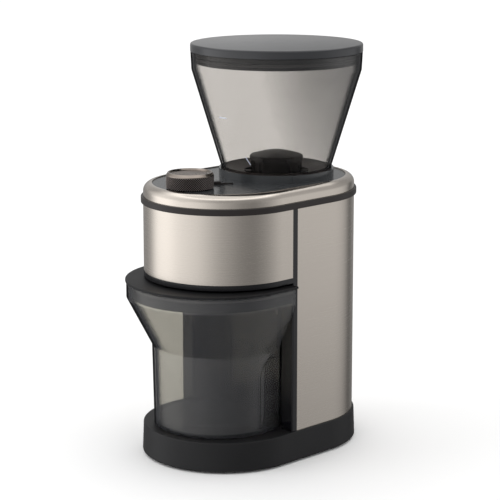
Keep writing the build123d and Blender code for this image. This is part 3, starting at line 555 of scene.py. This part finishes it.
smoke_light = smoked("smoked_hopper", clear=(0.885, 0.873, 0.859), body=(0.03, 0.03, 0.032),
                     fog=0.06, rim=0.92, painted_shade=0.32)
smoke_dark = smoked("smoked_container", clear=(0.935, 0.922, 0.880), body=(0.068, 0.070, 0.080),
                    fog=0.26, rim=0.8)
print(smoke_light.material.name, "and", smoke_dark.material.name)

# %% [markdown]
# ## Turning on a lathe
# The hopper is round, so its wall is one outline swept about its axis.  A spin or a screw
# modifier would sweep it too, but a loop also lets a formula carve the surface, which the
# dial needs.  A real mould has no sharp corners.  `eased` cuts each corner of the outline
# back and joins the cuts with a short curve, so that light catches the rim and the bend.


# %% Eased outlines
LONGEST_CUT = 0.45      # of the shorter side at a corner


def eased(outline, radius, steps=4):
    """A closed outline with every corner rounded, radius being how far each cut goes."""
    result = []
    for k, corner in enumerate(outline):
        corner = Vector(corner)
        before, after = Vector(outline[k - 1]), Vector(outline[(k + 1) % len(outline)])
        shorter = min((before - corner).length, (after - corner).length)
        reach = min(radius, shorter * LONGEST_CUT)
        start = corner + (before - corner).normalized() * reach
        end = corner + (after - corner).normalized() * reach
        for s in range(steps + 1):
            t = s / steps
            result.append(start * (1 - t) ** 2 + corner * 2 * t * (1 - t) + end * t ** 2)
    return result


print("a square eased has", len(eased([(0, 0), (1, 0), (1, 1), (0, 1)], 0.1)), "points")

# %% [markdown]
# `swept` turns an outline about an upright axis, and `fit` says which body a new piece
# rides on and which CAD node it stands for.


# %% Turned pieces
def swept(name, outline, x, y, sides, finish, carve=None):
    """A closed outline of (radius, height) swept about an upright axis; carve may move points."""
    count = len(outline)
    points = []
    for k in range(sides):
        angle = 2 * pi * k / sides
        for r, z in outline:
            r = carve(angle, r, z) if carve else r
            points.append((x + r * cos(angle), y + r * sin(angle), z))
    faces = []
    for k in range(sides):
        this, after = k * count, (k + 1) % sides * count
        for j in range(count):
            n = (j + 1) % count
            faces.append((this + j, after + j, after + n, this + n))
    return joined(name, points, faces, finish)


def fit(piece, body, slot, *stands_for):
    """Makes a piece ride on a body and stand for CAD nodes."""
    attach(piece, body)
    if stands_for:
        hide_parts(*stands_for)
    print(f"{piece.name}: {len(piece.data.polygons)} faces, rides on {body}")


print("new pieces can be swept and fitted")

# %% [markdown]
# ## Hopper wall
# The hopper is a funnel of even wall with an almost upright rim, in which the lid sits.
# CAD has the same wall with a sharp lip.  It could be bevelled, but six corners draw the
# whole wall, and easing all six rounds the lip, the bend and the foot alike.

# %% Hopper wall
RIM_R = (hopper_high.x - hopper_low.x) / 2
FOOT_R, WALL, LEAN_IN = 43.0 * MM, 2.0 * MM, 0.7 * MM
RIM_TALL, HOPPER_EASE, HOPPER_SIDES = 14.0 * MM, 0.9 * MM, 160
BEND_Z = hopper_high.z - RIM_TALL
hopper_outline = [
    (FOOT_R, hopper_low.z), (RIM_R - LEAN_IN, BEND_Z), (RIM_R, hopper_high.z),
    (RIM_R - WALL, hopper_high.z), (RIM_R - LEAN_IN - WALL, BEND_Z), (FOOT_R - WALL, hopper_low.z)]
hopper_wall = swept("hopper_wall", eased(hopper_outline, HOPPER_EASE), HOPPER_X, HOPPER_Y,
                    HOPPER_SIDES, smoke_light)
fit(hopper_wall, "hopper", "smoke_hopper", "hopper_shell")

# %% [markdown]
# ## Knurled dial sleeve
# A diamond knurl is rolled into the sleeve by two wheels, and leaves two families of
# grooves that cross.  A bump could draw them, but not at the outline of the dial.  The
# height at a point is the lesser of two ridges, so the mesh has real pyramids.

# %% Knurl
KNURLS, KNURL_DEPTH, KNURL_ROWS, POINTS_TO_A_KNURL = 66, 0.6 * MM, 5, 6
SLEEVE_R, BORE_R, SLEEVE_TALL = (dial_high.x - dial_low.x) / 2, 14.2 * MM, 9.6 * MM
SLEEVE_LOW, SLEEVE_HIGH = dial_high.z - SLEEVE_TALL, dial_high.z
KNURL_LOW, KNURL_HIGH = SLEEVE_LOW + 0.6 * MM, SLEEVE_HIGH - 0.5 * MM
HAIR = 0.001 * MM


def ridge(turns):
    """A straight-sided wave, 1 on its crest and 0 in its groove."""
    return 1 - abs(2 * (turns % 1.0) - 1)


def knurl(angle, r, z):
    """The radius of the sleeve, with grooves where the knurl runs."""
    if r < SLEEVE_R - HAIR or not KNURL_LOW - HAIR < z < KNURL_HIGH + HAIR:
        return r
    across = angle / (2 * pi) * KNURLS
    up = (z - KNURL_LOW) / (KNURL_HIGH - KNURL_LOW) * KNURL_ROWS
    crest = min(ridge(across + up + 0.5), ridge(across - up + 0.5))
    return r - KNURL_DEPTH * (1 - crest)


print(KNURLS, "knurls round,", KNURL_ROWS, "up")

# %% [markdown]
# The sleeve is blacked steel, and hands rub the tips of the pyramids bright.  Its tips are
# painted lighter and its grooves darker.  This is partly that wear, and partly a painted
# highlight on the tips and painted shade in the grooves.  It could be painted by hand, but a
# tip is simply further from the axis than a groove, so that distance, sent through a ramp, sets it.

# %% Blacked steel, tips worn and painted bright
knurled_black = Finish("blacked_steel", Metallic=1.0)
stands_out = (knurled_black.away(DIAL_X, DIAL_Y) - (SLEEVE_R - KNURL_DEPTH)) * (1 / KNURL_DEPTH)
# Lighter tips are partly rubbing wear and partly a painted highlight; darker grooves are painted shade.
tip_wear_and_highlight = knurled_black.ramp(stands_out, (0.25, 0.0), (0.9, 1.0))
dust = knurled_black.noise(*GRAIN, detail=4.0)
knurled_black.set(Base_Color=knurled_black.mix(tip_wear_and_highlight, (0.012, 0.010, 0.010), (0.34, 0.30, 0.285)))
knurled_black.set(Roughness=0.3 + (dust - 0.5) * 0.2)
print("finish", knurled_black.material.name)

# %% [markdown]
# The outline of the sleeve has a row of points up the knurled part, six to a pyramid, and
# a small bevel at each end where the wheels ran out.  Blender smooths the shading over
# gentle angles and keeps the edges of the pyramids.

# %% Knurled sleeve
LOW_BEVEL, HIGH_BEVEL = 0.5 * MM, 0.4 * MM
rows = KNURL_ROWS * POINTS_TO_A_KNURL
sleeve_outline = [(SLEEVE_R - LOW_BEVEL, SLEEVE_LOW)]
sleeve_outline += [(SLEEVE_R, KNURL_LOW + (KNURL_HIGH - KNURL_LOW) * k / rows) for k in range(rows + 1)]
sleeve_outline += [(SLEEVE_R - HIGH_BEVEL, SLEEVE_HIGH), (BORE_R, SLEEVE_HIGH), (BORE_R, SLEEVE_LOW)]
sleeve = swept("knurled_sleeve", sleeve_outline, DIAL_X, DIAL_Y, KNURLS * POINTS_TO_A_KNURL,
               knurled_black, knurl)
sleeve.data.set_sharp_from_angle(angle=radians(25))
fit(sleeve, "dial", "knob_black", "dial_knob")

# %% [markdown]
# ## Grounds container
# The container starts as a round tumbler, opens out at its waist to catch everything that
# falls, and is cut flat at the back so that it slides home.  Its plan is not round, but
# every level of it can be seen whole from its axis, so one distance for each direction
# and height draws it: a few formulas in place of a sheaf of surfaces.

# %% Container sizes
cup_low, cup_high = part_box("grounds_container")
CUP_Y, CHEEK_Y = -28.8 * MM, -10.5 * MM     # the axis, and where the mouth ends in two cheeks
CUP_R, CUP_FOOT_R, CUP_WALL, CUP_FLOOR = 51.6 * MM, 50.3 * MM, 2.2 * MM, 3.0 * MM
WAIST_Z, BAND_Z = 88.0 * MM, 126.2 * MM
MOUTH_R = (cup_high.x - cup_low.x) / 2
MOUTH_Y = cup_low.y + MOUTH_R - CUP_Y       # from here on, places are from the axis
CHEEK = CHEEK_Y - CUP_Y
BACK = cup_high.y - CUP_Y
print("mouth radius", round(MOUTH_R, 4), "m; flat back", round(BACK, 4), "m from the axis")

# %% [markdown]
# The wide mouth is half a circle at the front with a straight side left and right.  A line
# from the axis meets either the circle or a side, and two short sums tell where.


# %% Outline of the mouth
FAR = 1.0       # metres, past anything here


def mouth_reach(angle):
    """Distance from the axis to the wide front outline: a half circle and two sides."""
    c, s = cos(angle), sin(angle)
    beside = MOUTH_R / abs(c) if abs(c) > HAIR else FAR
    if beside * s >= MOUTH_Y:
        return beside
    return s * MOUTH_Y + sqrt((s * MOUTH_Y) ** 2 + MOUTH_R ** 2 - MOUTH_Y ** 2)


print("mouth to the front:", round(mouth_reach(-pi / 2), 4), "m")

# %% [markdown]
# Two arched hollows, one each side, give the fingers a hold.  They could be cut with a
# boolean, but a depth that fades in over 1.5 mm leaves a clean mesh and a soft edge.

# %% Finger grips
GRIP_TURN, GRIP_HALF, GRIP_DEPTH = radians(11), 14.0 * MM, 3.2 * MM
GRIP_LOW, GRIP_TOP, GRIP_EASE = 28.0 * MM, 83.5 * MM, 1.5 * MM


def smoothly(t):
    """0 below 0, 1 above 1, and a soft step between."""
    t = min(1.0, max(0.0, t))
    return t * t * (3 - 2 * t)


def grip_depth(angle, z):
    """How far the finger grip is let into the wall here."""
    side = angle if cos(angle) > 0 else pi - angle
    side = atan2(sin(side), cos(side))
    along, crown = (side - GRIP_TURN) * CUP_R, GRIP_TOP - GRIP_HALF
    outside = hypot(along, max(0.0, z - crown)) - GRIP_HALF
    outside = max(outside, GRIP_LOW - z)
    return GRIP_DEPTH * smoothly(-outside / GRIP_EASE)


print("grips are", round((GRIP_TOP - GRIP_LOW) / MM, 1), "mm tall")

# %% [markdown]
# The whole outside is the tumbler less its grips, or the opening mouth where that is
# wider, cut off flat at the back.


# %% Outside of the container
def reach(angle, z):
    """Distance from the axis to the outside of the container."""
    tumbler = CUP_FOOT_R + (CUP_R - CUP_FOOT_R) * min(1.0, (z - cup_low.z) / (WAIST_Z - cup_low.z))
    far = tumbler - grip_depth(angle, z)
    opening = min(1.0, (z - WAIST_Z) / (BAND_Z - WAIST_Z))
    if opening > 0:
        wide = CUP_R + (mouth_reach(angle) - CUP_R) * opening
        if sin(angle) > 0:
            wide = min(wide, CHEEK / sin(angle))
        far = max(far, wide)
    if sin(angle) > 0:
        far = min(far, BACK / sin(angle))
    return far


print("at the rim, to the right:", round(reach(0.0, cup_high.z), 4), "m")

# %% [markdown]
# The levels stand closer where the wall bends.  Each level is eased along its length, as
# a mould maker rounds every corner, and the inside follows the outside one wall in.

# %% Levels of the container
CUP_SIDES, EASE_REACH = 480, 2
NEAR_A_BEND, TALLEST_STEP = (-1.2, -0.6, -0.2, 0.2, 0.6, 1.2), 1.5 * MM
LIP, FOOT_EASE, FLOOR_EASE = 0.6 * MM, 1.2 * MM, 1.5 * MM


def level(z, inset):
    """Points round the container at one height, inset from the outside."""
    far = [reach(2 * pi * k / CUP_SIDES, z) for k in range(CUP_SIDES)]
    span = range(-EASE_REACH, EASE_REACH + 1)
    far = [sum(far[(k + j) % CUP_SIDES] for j in span) / len(span) - inset for k in range(CUP_SIDES)]
    return [(r * cos(2 * pi * k / CUP_SIDES), CUP_Y + r * sin(2 * pi * k / CUP_SIDES), z)
            for k, r in enumerate(far)]


def heights(low, high, *bends):
    """Heights from low to high, closer together near each bend."""
    marks = {low, high}
    for bend in bends:
        marks |= {bend + step * MM for step in NEAR_A_BEND}
    count = ceil((high - low) / TALLEST_STEP)
    marks |= {low + (high - low) * k / count for k in range(count + 1)}
    return sorted(z for z in marks if low <= z <= high)


outside = heights(cup_low.z + LIP, cup_high.z - LIP, WAIST_Z, BAND_Z)
inside = heights(cup_low.z + CUP_FLOOR, cup_high.z - LIP, WAIST_Z, BAND_Z)
print(len(outside), "levels outside,", len(inside), "inside")

# %% [markdown]
# One skin runs up the outside, over the lip and down the inside, so the wall is a closed
# solid with a real thickness.  A fan of triangles closes the foot and another the floor.

# %% Container mesh
floor_z = cup_low.z + CUP_FLOOR
rounds = [level(cup_low.z, FOOT_EASE)] + [level(z, 0.0) for z in outside]
rounds += [level(cup_high.z, LIP), level(cup_high.z, CUP_WALL - LIP)]
rounds += [level(z, CUP_WALL) for z in reversed(inside)] + [level(floor_z, CUP_WALL + FLOOR_EASE)]
points = [point for one in rounds for point in one]
faces = [(a * CUP_SIDES + k, a * CUP_SIDES + (k + 1) % CUP_SIDES,
          (a + 1) * CUP_SIDES + (k + 1) % CUP_SIDES, (a + 1) * CUP_SIDES + k)
         for a in range(len(rounds) - 1) for k in range(CUP_SIDES)]
last = (len(rounds) - 1) * CUP_SIDES
for first, z, turn_over in ((0, cup_low.z, True), (last, floor_z, False)):
    hub = len(points)
    points.append((0.0, CUP_Y, z))
    for k in range(CUP_SIDES):
        edge = (first + k, first + (k + 1) % CUP_SIDES)
        faces.append((hub, edge[1], edge[0]) if turn_over else (hub, *edge))
cup = joined("container_wall", points, faces, smoke_dark)
cup.data.set_sharp_from_angle(angle=radians(50))
fit(cup, "container", "smoke_container", "grounds_container")

# %% [markdown]
# ## Fill marks
# Two short pale strokes are printed on the hopper.  Paint in the finish of the wall would
# do, but as thin slivers of ink that lie on it they stay sharp and are pieces of their own:
# each is a narrow strip bent to the funnel.

# %% Printed strokes
INK_THICK, STROKE_WIDE = 0.15 * MM, 0.8 * MM
ink = satin("pale_ink", (0.62, 0.66, 0.78), 0.5)


def funnel_r(z):
    """Radius of the funnel's outside at a height."""
    share = (z - hopper_low.z) / (BEND_Z - hopper_low.z)
    return FOOT_R + (RIM_R - LEAN_IN - FOOT_R) * share


def stroke(name, start, end, steps=8):
    """A strip of ink on the funnel between two (direction, height) places."""
    points, faces = [], []
    along = Vector(((end[0] - start[0]) * funnel_r(start[1]), end[1] - start[1])).normalized()
    for k in range(steps + 1):
        t = k / steps
        for side in (-1, 1):
            z = start[1] + (end[1] - start[1]) * t + side * STROKE_WIDE / 2 * along.x
            angle = start[0] + (end[0] - start[0]) * t - side * STROKE_WIDE / 2 * along.y / funnel_r(z)
            for lift in (0.0, INK_THICK):
                r = funnel_r(z) + lift
                points.append((HOPPER_X + r * cos(angle), HOPPER_Y + r * sin(angle), z))
    for k in range(steps):
        a, b = 4 * k, 4 * k + 4
        faces += [(a + 1, a + 3, b + 3, b + 1), (a, b, b + 2, a + 2),
                  (a, a + 1, b + 1, b), (a + 2, b + 2, b + 3, a + 3)]
    faces += [(0, 2, 3, 1), (4 * steps, 4 * steps + 1, 4 * steps + 3, 4 * steps + 2)]
    fit(joined(name, points, faces, ink, smooth=False), "hopper", "pin_white")


stroke("level_mark", (radians(-96), 262 * MM), (radians(-88), 262 * MM))
stroke("foot_mark", (radians(-75), 232 * MM), (radians(-71), 226 * MM))
